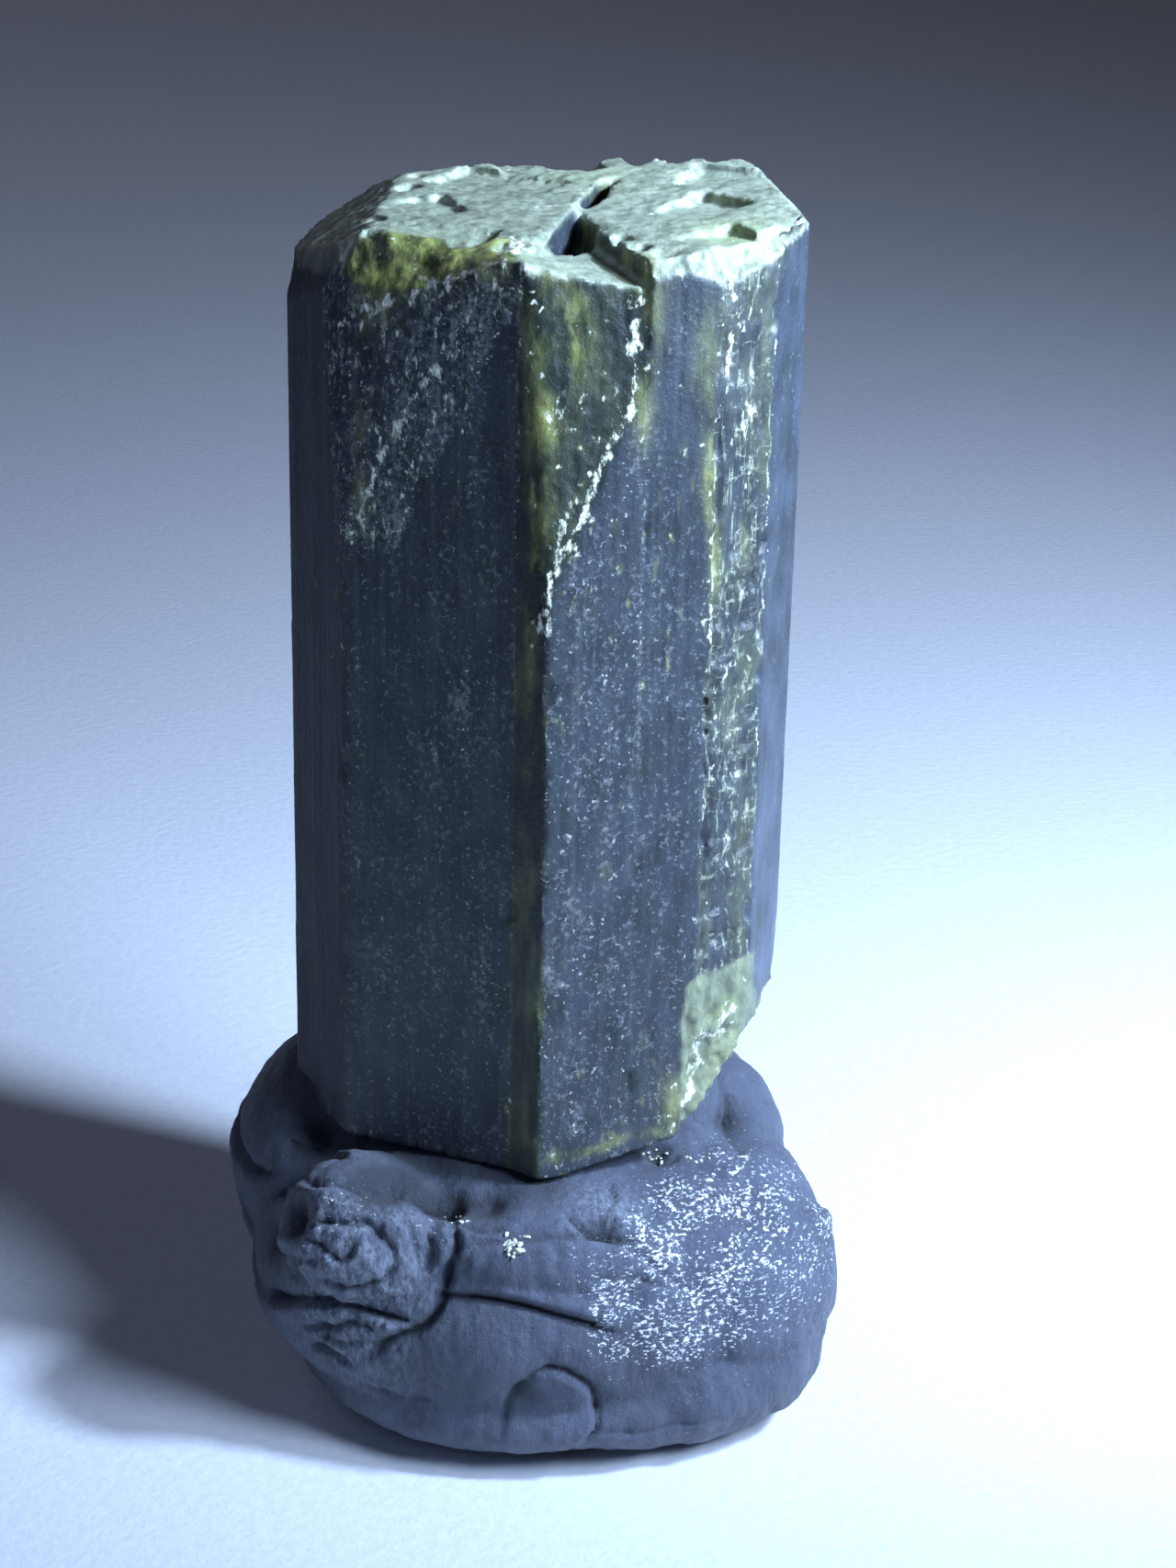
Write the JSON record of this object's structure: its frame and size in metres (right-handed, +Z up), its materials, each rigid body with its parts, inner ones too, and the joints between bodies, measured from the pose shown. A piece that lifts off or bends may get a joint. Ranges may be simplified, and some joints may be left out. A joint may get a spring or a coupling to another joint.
{
  "type": "epidote specimen",
  "caption": "Dark green prismatic epidote crystals grown together, standing upright in a pressed lump of blue-grey putty.",
  "frame": {"origin": "centre of the whole specimen's box, on the surface it stands on", "axes": "+Z up along the crystals, -Y towards the viewer, +X to the viewer's right"},
  "size_m": [0.0156, 0.013, 0.0303],
  "materials": {
    "epidote": "glassy to satin dark green crystal faces, pale rough broken ends, olive where thin",
    "putty": "matte kneaded putty with creases and fine glitter"
  },
  "bodies": {
    "root": {"epidote_crystals": "epidote", "putty_base": "putty"}
  },
  "joints": []
}
